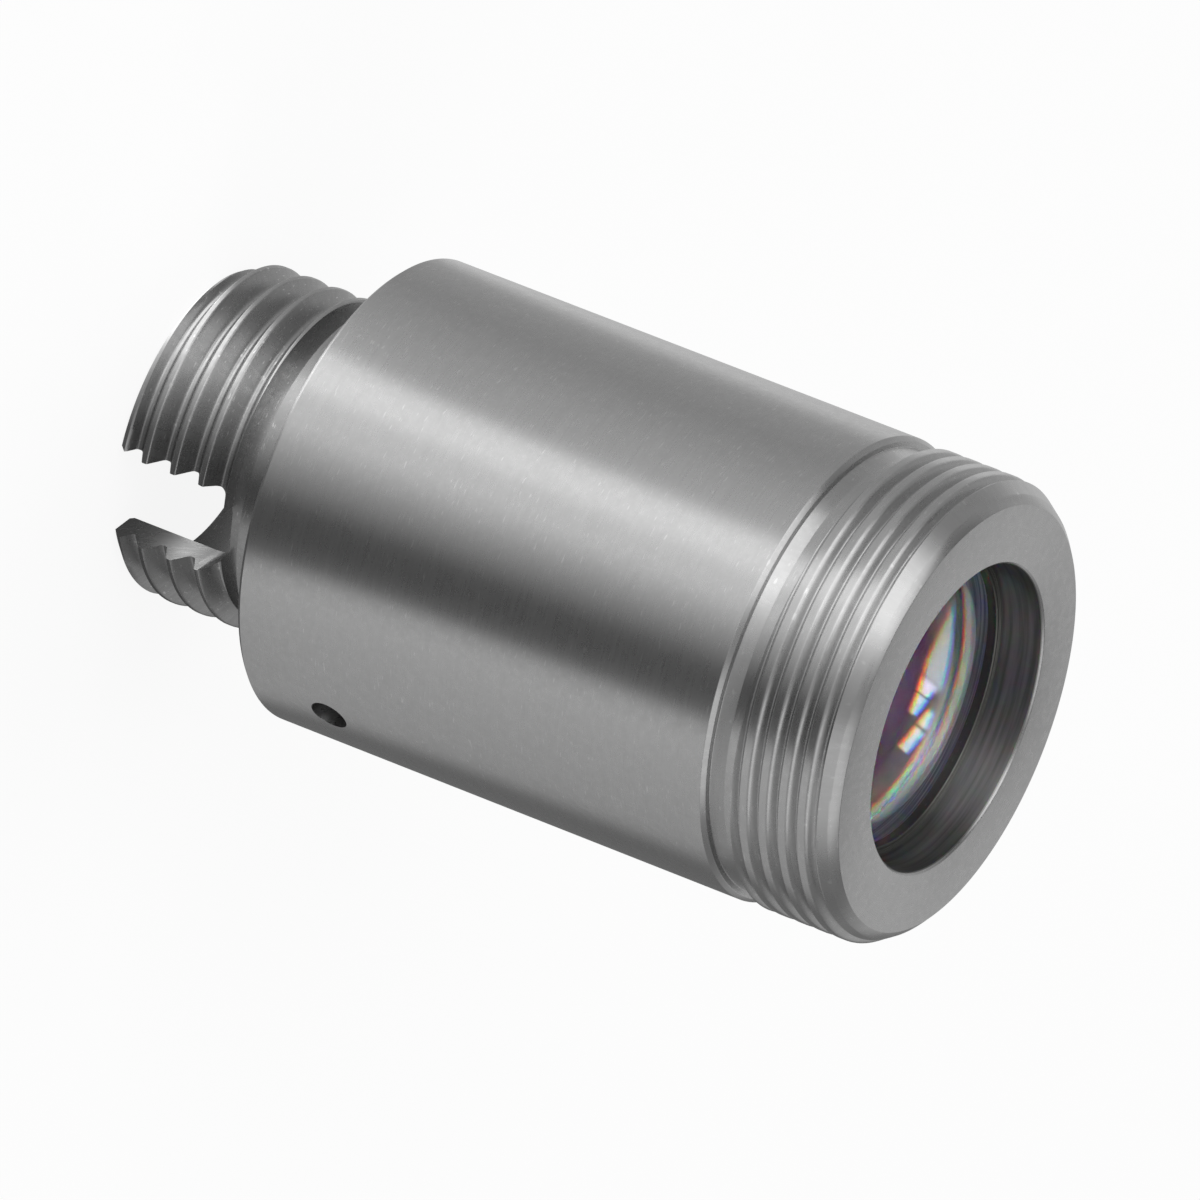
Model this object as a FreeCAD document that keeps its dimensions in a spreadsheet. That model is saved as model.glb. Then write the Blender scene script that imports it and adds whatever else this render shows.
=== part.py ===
"""Fibre collimator: a turned steel housing that holds a moulded glass asphere at its lens end and a
threaded, keyed connector receptacle at its fibre end.

Millimetres. +Z is the optical axis and points out of the lens end. The origin is on that axis at the
receptacle's rim, which the part stands on. The keyslot faces -Y.
"""
import FreeCAD, Part
import os
from math import sqrt

import Sketcher
from FreeCAD import Placement, Rotation, Vector

# Driving dimensions: word, value, note
SIZES = [
    ("barrel_diameter", 11.0, "plain outside of the housing"),
    ("barrel_length", 12.27, "rear face to front shoulder"),
    ("barrel_edge_break", 0.1, "45 degree break on both ends of the barrel"),
    ("front_relief_diameter", 10.3, "floor of the undercut behind the lens-end thread"),
    ("front_relief_length", 0.65, "width of that undercut"),
    ("lens_thread_diameter", 10.96, "crests of the M11 x 0.5 thread"),
    ("lens_thread_length", 2.02, "undercut to lead bevel"),
    ("lead_bevel_length", 0.39, "axial run of the shallow bevel that ends the thread"),
    ("lead_bevel_drop", 0.26, "radial run of that bevel"),
    ("face_bevel_length", 0.16, "axial run of the steep bevel round the front face"),
    ("face_bevel_drop", 0.19, "radial run of that bevel"),
    ("aperture_diameter", 7.26, "lens bore, open at the front face"),
    ("aperture_edge_break", 0.06, "45 degree break on the mouth of the lens bore"),
    ("lens_seat_width", 0.63, "ledge in the bore that carries the lens"),
    ("seat_clearance", 0.3, "room behind the shank for setting the focus"),
    ("port_diameter", 0.9, "side hole through which the receptacle is fixed"),
    ("port_setback", 2.17, "barrel's rear face to the side hole"),
    ("port_angle", 31.0, "degrees from the keyslot round to the side hole"),
    ("nose_length", 4.43, "receptacle's rim to the barrel's rear face"),
    ("connector_thread_diameter", 7.95, "crests of the M8 x 0.75 thread"),
    ("rim_chamfer", 0.33, "45 degree lead chamfer on the rim"),
    ("rim_bore_chamfer", 0.08, "45 degree break inside the rim"),
    ("thread_end", 2.95, "rim to the end of the connector thread"),
    ("nose_relief_diameter", 7.0, "floor of the undercut behind the connector thread"),
    ("nose_relief_length", 0.5, "width of that undercut"),
    ("shank_diameter", 7.9, "plain rear of the receptacle, held in the housing"),
    ("shank_land", 0.48, "fixing groove to the shank's inner end"),
    ("shank_clearance", 0.02, "radial gap between the shank and its bore"),
    ("shank_edge_break", 0.15, "45 degree break on the shank's inner end"),
    ("fixing_groove_width", 1.3, "groove round the shank behind the side hole"),
    ("fixing_groove_depth", 0.2, "radial depth of that groove"),
    ("plug_bore_diameter", 6.0, "room for the connector's keyed barrel"),
    ("plug_bore_depth", 5.0, "rim to the floor of that bore"),
    ("keyslot_width", 2.2, "slot for the connector's key"),
    ("keyslot_depth", 3.0, "rim to the slot's inner end"),
    ("keyslot_corner", 0.75, "radius of the slot's two inner corners"),
    ("post_diameter", 4.2, "post that holds the ferrule sleeve"),
    ("post_setback", 2.4, "rim to the tip of the post"),
    ("post_chamfer", 0.2, "45 degree chamfer on the tip of the post"),
    ("stop_aperture_diameter", 1.8, "light opening in the ferrule's stop"),
    ("stop_land", 0.3, "thickness of the stop round that opening"),
    ("exit_cone_diameter", 4.4, "wide end of the light cone behind the stop"),
    ("ferrule_diameter", 2.5, "ferrule that the sleeve guides"),
    ("sleeve_wall", 0.35, "wall of the ferrule sleeve"),
    ("sleeve_mouth_chamfer", 0.15, "45 degree lead-in at the sleeve's mouth"),
    ("lens_clearance", 0.03, "radial gap between the lens and its bore"),
    ("lens_flange_width", 0.65, "flat flange round the lens's polished zone"),
    ("lens_centre_thickness", 5.0, "vertex to vertex"),
    ("lens_front_radius", 7.45, "vertex radius of the front surface"),
    ("lens_front_conic", -0.6, "conic constant of the front surface"),
    ("lens_rear_radius", 18.0, "vertex radius of the rear surface"),
    ("lens_recess", 1.32, "front face to the lens's front flange"),
    ("lens_edge_break", 0.1, "45 degree break on both rims of the lens"),
    ("back_focus", 8.37, "rear vertex to the fibre's end"),
    ("ring_wall", 0.2, "radial width of the retaining ring"),
    ("ring_height", 0.24, "axial height of the retaining ring"),
    ("ring_edge_break", 0.04, "45 degree break on the ring's inner top edge"),
]

PARTS_FOLDER = "parts"
CONIC_STATIONS = 12  # places along a lens surface at which its curve is worked out
SPHERE = 0  # conic constant of a spherical surface


def make_sheet(doc):
    """The spreadsheet of driving dimensions, one alias a row."""
    sheet = doc.addObject("Spreadsheet::Sheet", "Sizes")
    for row, (word, number, note) in enumerate(SIZES, start=1):
        sheet.set(f"A{row}", word)
        sheet.set(f"B{row}", str(number))
        sheet.set(f"C{row}", note)
        sheet.setAlias(f"B{row}", word)
    doc.recompute()
    return sheet


def read(sheet, expression):
    return float(sheet.evalExpression(expression))


def half(word):
    return f"Sizes.{word} / 2"


LIGHT_PATH_RADIUS = f"{half('aperture_diameter')} - Sizes.lens_seat_width"
LENS_RADIUS = f"{half('aperture_diameter')} - Sizes.lens_clearance"
OPTICAL_RADIUS = f"{LENS_RADIUS} - Sizes.lens_flange_width"


def sag(radius, conic):
    """Depth of a conic surface at the edge of the lens's optical zone, as an expression."""
    reach = f"({OPTICAL_RADIUS})"
    return f"{reach} ^ 2 / ({radius} * (1 + sqrt(1 - (1 + {conic}) * ({reach} / {radius}) ^ 2)))"


class Levels:
    """Heights along the axis, each an expression of the driving dimensions."""

    rear_face = "Sizes.nose_length"
    front_shoulder = f"{rear_face} + Sizes.barrel_length"
    thread_start = f"{front_shoulder} + Sizes.front_relief_length"
    bevel_start = f"{thread_start} + Sizes.lens_thread_length"
    bevel_middle = f"{bevel_start} + Sizes.lead_bevel_length"
    front_face = f"{bevel_middle} + Sizes.face_bevel_length"
    lens_flange = f"{front_face} - Sizes.lens_recess"
    lens_front_vertex = f"{lens_flange} + {sag('Sizes.lens_front_radius', 'Sizes.lens_front_conic')}"
    lens_rear_vertex = f"{lens_front_vertex} - Sizes.lens_centre_thickness"
    lens_seat = f"{lens_rear_vertex} + {sag('Sizes.lens_rear_radius', SPHERE)}"
    ferrule_stop = f"{lens_rear_vertex} - Sizes.back_focus"
    relief_end = "Sizes.thread_end + Sizes.nose_relief_length"
    port = f"{rear_face} + Sizes.port_setback"
    groove_rear = f"{port} - Sizes.fixing_groove_width / 2"
    groove_front = f"{port} + Sizes.fixing_groove_width / 2"
    shank_end = f"{groove_front} + Sizes.shank_land"
    shank_stop = f"{shank_end} + Sizes.seat_clearance"
    post_tip = "Sizes.post_setback"


def conic_sag(radius, conic, reach):
    """Depth of a conic surface at a distance from its axis."""
    return reach**2 / (radius * (1 + sqrt(1 - (1 + conic) * (reach / radius) ** 2)))


def upright_plane(body):
    """The body's XZ plane: X across the axis and Z up it."""
    for feature in body.Origin.OriginFeatures:
        if feature.Role == "XZ_Plane":
            return feature
    raise RuntimeError(f"no XZ plane in {body.Name}")


def add_sketch(body, name):
    sketch = body.newObject("Sketcher::SketchObject", name)
    sketch.AttachmentSupport = [(upright_plane(body), "")]
    sketch.MapMode = "FlatFace"
    return sketch


def bind(sketch, constraint, name, expression):
    """Adds a dimension, names it and ties it to the sheet."""
    index = sketch.addConstraint(constraint)
    sketch.renameConstraint(index, name)
    sketch.setExpression(f"Constraints.{name}", expression)


def turned_body(doc, sheet, label, outline):
    """A body turned round +Z from a closed outline of (corner name, radius, height), each an expression."""
    body = doc.addObject("PartDesign::Body", label)
    body.Label = label
    sketch = add_sketch(body, f"{label}_section")
    corners = [Vector(read(sheet, radius), read(sheet, height), 0) for _, radius, height in outline]
    count = len(corners)
    for here in range(count):
        sketch.addGeometry(Part.LineSegment(corners[here], corners[(here + 1) % count]))
    for here in range(count):
        sketch.addConstraint(Sketcher.Constraint("Coincident", here, 2, (here + 1) % count, 1))
    for here, (corner, radius, height) in enumerate(outline):
        place_corner(sketch, here, corners[here], corner, radius, height)
    turn = body.newObject("PartDesign::Revolution", f"{label}_turned")
    turn.Profile = sketch
    turn.ReferenceAxis = (sketch, ["V_Axis"])
    turn.Angle = 360
    sketch.Visibility = False
    doc.recompute()
    return body


def place_corner(sketch, line, corner, name, radius, height):
    """Dimensions the start of a line from the axis and from the rim's plane."""
    if height == "0":
        sketch.addConstraint(Sketcher.Constraint("PointOnObject", line, 1, -1))
    else:
        bind(sketch, Sketcher.Constraint("DistanceY", -1, 1, line, 1, corner.y), f"{name}_height", height)
    bind(sketch, Sketcher.Constraint("DistanceX", -1, 1, line, 1, corner.x), f"{name}_radius", radius)


def make_housing(doc, sheet):
    at = Levels
    broken = f"{half('barrel_diameter')} - Sizes.barrel_edge_break"
    mouth = f"{half('aperture_diameter')} + Sizes.aperture_edge_break"
    thread = half("lens_thread_diameter")
    bevelled = f"{thread} - Sizes.lead_bevel_drop"
    socket = f"{half('shank_diameter')} + Sizes.shank_clearance"
    outline = [
        ("rear_inner", socket, at.rear_face),
        ("rear_outer", broken, at.rear_face),
        ("rear_break", half("barrel_diameter"), f"{at.rear_face} + Sizes.barrel_edge_break"),
        ("front_break", half("barrel_diameter"), f"{at.front_shoulder} - Sizes.barrel_edge_break"),
        ("shoulder_outer", broken, at.front_shoulder),
        ("shoulder_inner", half("front_relief_diameter"), at.front_shoulder),
        ("relief_end", half("front_relief_diameter"), at.thread_start),
        ("thread_start", thread, at.thread_start),
        ("thread_end", thread, at.bevel_start),
        ("bevel_corner", bevelled, at.bevel_middle),
        ("face_outer", f"{bevelled} - Sizes.face_bevel_drop", at.front_face),
        ("face_inner", mouth, at.front_face),
        ("mouth_inner", half("aperture_diameter"), f"{at.front_face} - Sizes.aperture_edge_break"),
        ("seat_outer", half("aperture_diameter"), at.lens_seat),
        ("seat_inner", LIGHT_PATH_RADIUS, at.lens_seat),
        ("stop_inner", LIGHT_PATH_RADIUS, at.shank_stop),
        ("stop_outer", socket, at.shank_stop),
    ]
    housing = turned_body(doc, sheet, "housing", outline)
    drill_port(doc, sheet, housing)
    return housing


def drill_port(doc, sheet, housing):
    """The small side hole, a set angle round from the keyslot."""
    sketch = add_sketch(housing, "port_outline")
    sketch.AttachmentOffset = Placement(Vector(), Rotation(Vector(0, 1, 0), sheet.port_angle))
    sketch.setExpression("AttachmentOffset.Rotation.Angle", "Sizes.port_angle")
    height = read(sheet, Levels.port)
    across = sheet.port_diameter
    sketch.addGeometry(Part.Circle(Vector(0, height, 0), Vector(0, 0, 1), across / 2))
    sketch.addConstraint(Sketcher.Constraint("PointOnObject", 0, 3, -2))
    bind(sketch, Sketcher.Constraint("DistanceY", -1, 1, 0, 3, height), "port_height", Levels.port)
    bind(sketch, Sketcher.Constraint("Diameter", 0, across), "port_size", "Sizes.port_diameter")
    cut_outward(doc, housing, sketch, "port")


def cut_outward(doc, body, sketch, name):
    """Cuts through the one wall that lies on the sketch's outer side."""
    doc.recompute()
    before = body.Shape.Volume
    pocket = body.newObject("PartDesign::Pocket", name)
    pocket.Profile = sketch
    pocket.Type = "ThroughAll"
    pocket.Reversed = True
    sketch.Visibility = False
    doc.recompute()
    if body.Shape.Volume >= before:
        raise RuntimeError(f"{name} removes nothing from {body.Label}")


def make_receptacle(doc, sheet):
    at = Levels
    crest = half("connector_thread_diameter")
    relief = half("nose_relief_diameter")
    shank = half("shank_diameter")
    groove = f"{shank} - Sizes.fixing_groove_depth"
    socket = f"{half('ferrule_diameter')} + Sizes.sleeve_wall"
    land = f"{at.ferrule_stop} + Sizes.stop_land"
    mouth = f"{half('plug_bore_diameter')} + Sizes.rim_bore_chamfer"
    outline = [
        ("rim_inner", mouth, "0"),
        ("rim_outer", f"{crest} - Sizes.rim_chamfer", "0"),
        ("thread_start", crest, "Sizes.rim_chamfer"),
        ("thread_end", crest, "Sizes.thread_end"),
        ("relief_start", relief, "Sizes.thread_end"),
        ("relief_end", relief, at.relief_end),
        ("shank_start", shank, at.relief_end),
        ("groove_rear_top", shank, at.groove_rear),
        ("groove_rear_floor", groove, at.groove_rear),
        ("groove_front_floor", groove, at.groove_front),
        ("groove_front_top", shank, at.groove_front),
        ("shank_break", shank, f"{at.shank_end} - Sizes.shank_edge_break"),
        ("shank_outer", f"{shank} - Sizes.shank_edge_break", at.shank_end),
        ("cone_mouth", half("exit_cone_diameter"), at.shank_end),
        ("cone_throat", half("stop_aperture_diameter"), land),
        ("stop_inner", half("stop_aperture_diameter"), at.ferrule_stop),
        ("stop_outer", socket, at.ferrule_stop),
        ("socket_mouth", socket, at.post_tip),
        ("post_face", f"{half('post_diameter')} - Sizes.post_chamfer", at.post_tip),
        ("post_edge", half("post_diameter"), f"{at.post_tip} + Sizes.post_chamfer"),
        ("post_root", half("post_diameter"), "Sizes.plug_bore_depth"),
        ("floor_outer", half("plug_bore_diameter"), "Sizes.plug_bore_depth"),
        ("bore_mouth", half("plug_bore_diameter"), "Sizes.rim_bore_chamfer"),
    ]
    receptacle = turned_body(doc, sheet, "fibre_receptacle", outline)
    mill_keyslot(doc, sheet, receptacle)
    return receptacle


def mill_keyslot(doc, sheet, receptacle):
    """The slot through the threaded wall, with rounded inner corners and clear of the post inside."""
    sketch = add_sketch(receptacle, "keyslot_outline")
    between = f"({half('plug_bore_diameter')} + {half('post_diameter')}) / 2"
    sketch.AttachmentOffset = Placement(Vector(0, 0, read(sheet, between)), Rotation())
    sketch.setExpression("AttachmentOffset.Base.z", between)
    across, deep, corner = sheet.keyslot_width / 2, sheet.keyslot_depth, sheet.keyslot_corner
    bend = corner * (1 - sqrt(0.5))
    left, corner_left = Vector(-across, deep - corner, 0), Vector(corner - across, deep, 0)
    right, corner_right = Vector(across, deep - corner, 0), Vector(across - corner, deep, 0)
    outer_left, outer_right = Vector(-across, -across, 0), Vector(across, -across, 0)
    sketch.addGeometry(Part.LineSegment(left, outer_left))
    sketch.addGeometry(Part.LineSegment(outer_left, outer_right))
    sketch.addGeometry(Part.LineSegment(outer_right, right))
    sketch.addGeometry(Part.Arc(right, Vector(across - bend, deep - bend, 0), corner_right))
    sketch.addGeometry(Part.LineSegment(corner_right, corner_left))
    sketch.addGeometry(Part.Arc(corner_left, Vector(bend - across, deep - bend, 0), left))
    side, mouth, far_side, far_corner, end, near_corner = range(6)
    for line in range(6):
        sketch.addConstraint(Sketcher.Constraint("Coincident", line, 2, (line + 1) % 6, 1))
    sketch.addConstraint(Sketcher.Constraint("Vertical", side))
    sketch.addConstraint(Sketcher.Constraint("Vertical", far_side))
    sketch.addConstraint(Sketcher.Constraint("Symmetric", mouth, 1, mouth, 2, -2))
    sketch.addConstraint(Sketcher.Constraint("Horizontal", far_corner, 3, far_corner, 1))
    sketch.addConstraint(Sketcher.Constraint("Vertical", far_corner, 3, far_corner, 2))
    sketch.addConstraint(Sketcher.Constraint("Vertical", near_corner, 3, near_corner, 1))
    sketch.addConstraint(Sketcher.Constraint("Horizontal", near_corner, 3, near_corner, 2))
    width = Sketcher.Constraint("DistanceX", mouth, 1, mouth, 2, 2 * across)
    depth = Sketcher.Constraint("DistanceY", -1, 1, end, 1, deep)
    overrun = Sketcher.Constraint("DistanceY", mouth, 1, -1, 1, across)
    bind(sketch, width, "slot_width", "Sizes.keyslot_width")
    bind(sketch, depth, "slot_depth", "Sizes.keyslot_depth")
    bind(sketch, overrun, "slot_overrun", half("keyslot_width"))
    for arc, name in ((far_corner, "far_corner_size"), (near_corner, "near_corner_size")):
        bind(sketch, Sketcher.Constraint("Radius", arc, corner), name, "Sizes.keyslot_corner")
    cut_outward(doc, receptacle, sketch, "keyslot")


def make_sleeve(doc, sheet):
    bore = half("ferrule_diameter")
    outside = f"{bore} + Sizes.sleeve_wall"
    mouth = f"{bore} + Sizes.sleeve_mouth_chamfer"
    outline = [
        ("mouth_inner", mouth, Levels.post_tip),
        ("mouth_outer", outside, Levels.post_tip),
        ("inner_end_outer", outside, Levels.ferrule_stop),
        ("inner_end_inner", bore, Levels.ferrule_stop),
        ("bore_start", bore, f"{Levels.post_tip} + Sizes.sleeve_mouth_chamfer"),
    ]
    return turned_body(doc, sheet, "ferrule_sleeve", outline)


def make_ring(doc, sheet):
    outside = half("aperture_diameter")
    inside = f"{outside} - Sizes.ring_wall"
    top = f"{Levels.lens_flange} + Sizes.ring_height"
    outline = [
        ("seat_inner", inside, Levels.lens_flange),
        ("seat_outer", outside, Levels.lens_flange),
        ("top_outer", outside, top),
        ("top_inner", f"{inside} + Sizes.ring_edge_break", top),
        ("inner_top", inside, f"{top} - Sizes.ring_edge_break"),
    ]
    return turned_body(doc, sheet, "lens_retaining_ring", outline)


def lens_surface(sheet, radius, conic, vertex, outward):
    """The meridian of one lens surface, from the axis to the edge of the optical zone."""
    reach = read(sheet, OPTICAL_RADIUS)
    points = []
    for step in range(CONIC_STATIONS + 1):
        r = reach * step / CONIC_STATIONS
        points.append(Vector(r, 0, vertex - outward * conic_sag(radius, conic, r)))
    curve = Part.BSplineCurve()
    curve.interpolate(points)
    return curve.toShape(), points[-1]


def make_lens(doc, sheet):
    """The lens has conic surfaces, so its section is worked out here and turned."""
    edge = read(sheet, LENS_RADIUS)
    flange = read(sheet, Levels.lens_flange)
    seat = read(sheet, Levels.lens_seat)
    front_vertex = read(sheet, Levels.lens_front_vertex)
    rear_vertex = read(sheet, Levels.lens_rear_vertex)
    front, front_rim = lens_surface(sheet, sheet.lens_front_radius, sheet.lens_front_conic, front_vertex, 1)
    rear, rear_rim = lens_surface(sheet, sheet.lens_rear_radius, SPHERE, rear_vertex, -1)
    corners = [
        front_rim,
        Vector(edge - sheet.lens_edge_break, 0, flange),
        Vector(edge, 0, flange - sheet.lens_edge_break),
        Vector(edge, 0, seat + sheet.lens_edge_break),
        Vector(edge - sheet.lens_edge_break, 0, seat),
        rear_rim,
    ]
    axis = Part.makeLine(Vector(0, 0, rear_vertex), Vector(0, 0, front_vertex))
    rim = Part.makePolygon(corners)
    section = Part.Face(Part.Wire(Part.__sortEdges__([axis, front, *rim.Edges, rear])))
    lens = doc.addObject("Part::Feature", "aspheric_lens")
    lens.Label = "aspheric_lens"
    lens.Shape = section.revolve(Vector(), Vector(0, 0, 1), 360)
    lens.Placement = Placement()
    return lens


def check(doc, pieces):
    for thing in doc.Objects:
        if {"Invalid", "Error"} & set(thing.State):
            raise RuntimeError(f"{thing.Label} failed: {thing.State}")
    for piece in pieces:
        if piece.Shape.isNull() or not piece.Shape.isValid() or len(piece.Shape.Solids) != 1:
            raise RuntimeError(f"{piece.Label} isn't one valid solid")


def main():
    os.makedirs(PARTS_FOLDER, exist_ok=True)
    doc = FreeCAD.newDocument("fibre_collimator")
    sheet = make_sheet(doc)
    pieces = [
        make_housing(doc, sheet),
        make_receptacle(doc, sheet),
        make_sleeve(doc, sheet),
        make_lens(doc, sheet),
        make_ring(doc, sheet),
    ]
    doc.recompute()
    check(doc, pieces)
    for piece in pieces:
        piece.Shape.exportStep(os.path.join(PARTS_FOLDER, f"{piece.Label}.step"))
        print(f"{piece.Label}: {piece.Shape.Volume:.2f} cubic mm")


main()
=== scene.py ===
"""Fibre collimator on a white sweep: a turned steel barrel with a moulded glass lens at one end and a threaded,
keyed connector nose at the other. Metres in Blender; sizes below are in millimetres, times MM.
"""
from math import ceil, cos, floor, pi, radians, sin, sqrt, tan

import bmesh
import bpy
from mathutils import Matrix, Vector


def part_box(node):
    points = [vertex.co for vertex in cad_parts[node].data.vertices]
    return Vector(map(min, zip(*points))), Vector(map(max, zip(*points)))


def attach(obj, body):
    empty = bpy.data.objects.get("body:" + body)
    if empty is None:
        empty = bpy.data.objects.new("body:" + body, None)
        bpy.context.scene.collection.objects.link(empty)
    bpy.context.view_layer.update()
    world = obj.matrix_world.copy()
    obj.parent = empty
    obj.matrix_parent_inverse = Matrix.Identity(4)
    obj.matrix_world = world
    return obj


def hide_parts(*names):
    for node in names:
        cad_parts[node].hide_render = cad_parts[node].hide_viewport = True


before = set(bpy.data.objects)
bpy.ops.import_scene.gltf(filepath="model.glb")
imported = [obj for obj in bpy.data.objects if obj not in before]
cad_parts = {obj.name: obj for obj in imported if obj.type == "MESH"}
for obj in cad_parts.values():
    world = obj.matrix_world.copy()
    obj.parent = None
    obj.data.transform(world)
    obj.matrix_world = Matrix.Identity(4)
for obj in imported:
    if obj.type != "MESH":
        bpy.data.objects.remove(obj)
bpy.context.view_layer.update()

MM = 0.001


def span(node):
    """A turned node's outer radius, lowest and highest level, in millimetres."""
    low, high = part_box(node)
    return high.x / MM, low.z / MM, high.z / MM


BARREL_RADIUS, REAR_FACE, FRONT_FACE = span("housing")
CREST_RADIUS, RIM, SHANK_END = span("fibre_receptacle")
LENS_RADIUS, LENS_REAR, LENS_FRONT = span("aspheric_lens")
BORE_RADIUS, LENS_FLANGE, RING_TOP = span("lens_retaining_ring")
SLEEVE_RADIUS, POST_TIP, FERRULE_STOP = span("ferrule_sleeve")

# Housing
BARREL_LENGTH = 12.27
SHOULDER = REAR_FACE + BARREL_LENGTH
BARREL_BREAK = 0.1
FRONT_RELIEF_RADIUS = 5.15
FRONT_RELIEF_LENGTH = 0.65
FRONT_RELIEF_TAPER = (0.11, 0.32)  # radial and axial run of the floor next to the shoulder
LENS_THREAD_RADIUS = 5.48
LENS_THREAD_PITCH = 0.5
LENS_THREAD_DEPTH = 0.2
LENS_THREAD_CREST = (-90.4, 18.71)  # azimuth in degrees and level of one crest
# Corners of one pitch: share of the pitch from a root's middle, share of the depth, and reach of the easing
LENS_THREAD_SECTION = ((0.05, 1.0, 0.045), (0.28, 0.0, 0.02), (0.72, 0.0, 0.11), (0.95, 1.0, 0.045))
LEAD_BEVEL = (0.26, 0.39)  # radial and axial run
FACE_BEVEL = (0.19, 0.16)
MOUTH_BREAK = 0.06
LIGHT_PATH_RADIUS = 3.0
SOCKET_RADIUS = 3.97
SOCKET_END = 8.03
LENS_SEAT = 14.44
PORT_RADIUS = 0.45
PORT_AZIMUTH = -59.0
PORT_LEVEL = 6.6
PORT_STEPS = 48

# Receptacle
RIM_CHAMFER = 0.33
RIM_BORE_BREAK = 0.08
CONNECTOR_PITCH = 0.75
CONNECTOR_DEPTH = 0.42
CONNECTOR_SECTION = ((0.093, 1.0, 0.06), (0.417, 0.0, 0.03), (0.583, 0.0, 0.03), (0.907, 1.0, 0.06))
CONNECTOR_CREST = (-106.0, 0.805)
THREAD_END = 2.95
NOSE_RELIEF_RADIUS = 3.5
NOSE_RELIEF_LENGTH = 0.5
SHANK_RADIUS = 3.95
SHANK_BREAK = 0.15
PLUG_BORE_RADIUS = 3.0
PLUG_BORE_DEPTH = 5.0
POST_RADIUS = 2.1
POST_CHAMFER = 0.2
STOP_RADIUS = 0.9
STOP_LAND = 0.3
EXIT_CONE_RADIUS = 2.2
KEYSLOT_HALF_WIDTH = 1.1
KEYSLOT_DEPTH = 3.0
KEYSLOT_CORNER = 0.75
KEYSLOT_CORNER_STEPS = 8

# Lens and ring
OPTICAL_RADIUS = 2.95
OPTICAL_STEPS = 24  # from the axis out
LENS_EDGE_BREAK = 0.1
FRONT_CURVE = (7.45, -0.6)  # vertex radius and conic constant
REAR_CURVE = (18.0, 0.0)
SEAT_GAP = 0.004  # between the lens's rear flange and its seat, so that they don't share a face
RING_WALL = 0.2
RING_BREAK = 0.025
RING_GROOVES = (3.585, 3.53)  # radii of their middles
GROOVE_HALF = 0.015

# Camera, as fitted to the photograph
FACING = -125.0  # azimuth of the side that faces the camera
ELEVATION = 24.597
ROLL = 111.311  # the optical axis runs to the lower right of the picture
CAMERA_DISTANCE = 617.77
CAMERA_SIDESTEP = (5.2066, -1.57212)  # the shoulder's place right of and above the picture's middle
FOCAL_LENGTH = 834.37
SENSOR_WIDTH = 36.0
CLIP = (0.05, 20)  # metres


def aimed(azimuth, elevation):
    """Unit vector from the axis towards an azimuth and elevation in degrees."""
    a, e = radians(azimuth), radians(elevation)
    return Vector((cos(e) * cos(a), cos(e) * sin(a), sin(e)))


# Profiles

EDGE = 0.03  # radius that a machined edge is eased to
EDGE_SHARE = 0.45  # of a run beside an edge, the most that the easing takes
EDGE_STEPS = 4


def eased(points):
    """A run of section points with its inner corners rounded off."""
    found = [points[0]]
    for before, corner, after in zip(points, points[1:], points[2:]):
        corner = Vector(corner)
        back = Vector(before) - corner
        ahead = Vector(after) - corner
        run = min(EDGE / tan(back.angle(ahead) / 2), EDGE_SHARE * back.length, EDGE_SHARE * ahead.length)
        start = corner + back.normalized() * run
        end = corner + ahead.normalized() * run
        for step in range(EDGE_STEPS + 1):
            t = step / EDGE_STEPS
            found.append(tuple(start * (1 - t) ** 2 + corner * 2 * t * (1 - t) + end * t**2))
    return found + [points[-1]]


class Thread:
    """A right-hand V thread round +Z. Its section is one pitch long, from the middle of a root to the next, and is
    a list of (share of the pitch, share of the depth) corners with an ease each, all rounded as parabolas."""

    EASE_STEPS = 4
    FLANK_STEPS = 4

    def __init__(self, pitch, depth, crest_radius, crest, corners):
        self.pitch = pitch
        self.depth = depth
        self.crest_radius = crest_radius
        self.crest_azimuth, self.crest_level = crest
        self.section = self.rounded(corners)

    def rounded(self, corners):
        """The corners with each one eased over its own reach along the pitch."""
        found = [(0.0, 1.0)]
        for index, (at, cut, ease) in enumerate(corners):
            before = corners[index - 1] if index else (0.0, 1.0)
            after = corners[index + 1] if index + 1 < len(corners) else (1.0, 1.0)
            rise_in = (cut - before[1]) / (at - before[0])
            rise_out = (after[1] - cut) / (after[0] - at)
            entry = at - ease
            for step in range(1, self.FLANK_STEPS):
                start = found[-1]
                share = 1 / (self.FLANK_STEPS - step + 1)
                place = start[0] + (entry - start[0]) * share
                found.append((place, start[1] + rise_in * (place - start[0])))
            for step in range(self.EASE_STEPS + 1):
                t = step / self.EASE_STEPS
                x = at + ease * (2 * t - 1)
                y = cut - rise_in * ease * (1 - t) ** 2 + rise_out * ease * t**2
                found.append((x, y))
        found.append((1.0, 1.0))
        return found

    def level(self, turn):
        """Level of one section's start at a share of a turn from azimuth 0."""
        return self.crest_level + self.pitch * (turn - self.crest_azimuth / 360 - 0.5)

    def radius(self, z, turn):
        share = ((z - self.level(turn)) / self.pitch) % 1
        for (x0, y0), (x1, y1) in zip(self.section, self.section[1:]):
            if share <= x1:
                return self.crest_radius - self.depth * (y0 + (y1 - y0) * (share - x0) / (x1 - x0))
        return self.crest_radius - self.depth

    def stations(self, turn, low, high):
        """Levels that follow the helix from low to high; those outside are held at the ends."""
        first = floor((low - self.level(0)) / self.pitch) - 2
        last = ceil((high - self.level(0)) / self.pitch) + 1
        base = self.level(turn)
        levels = [base + self.pitch * (k + share) for k in range(first, last + 1) for share, _ in self.section[:-1]]
        return [min(max(z, low), high) for z in levels]


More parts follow.
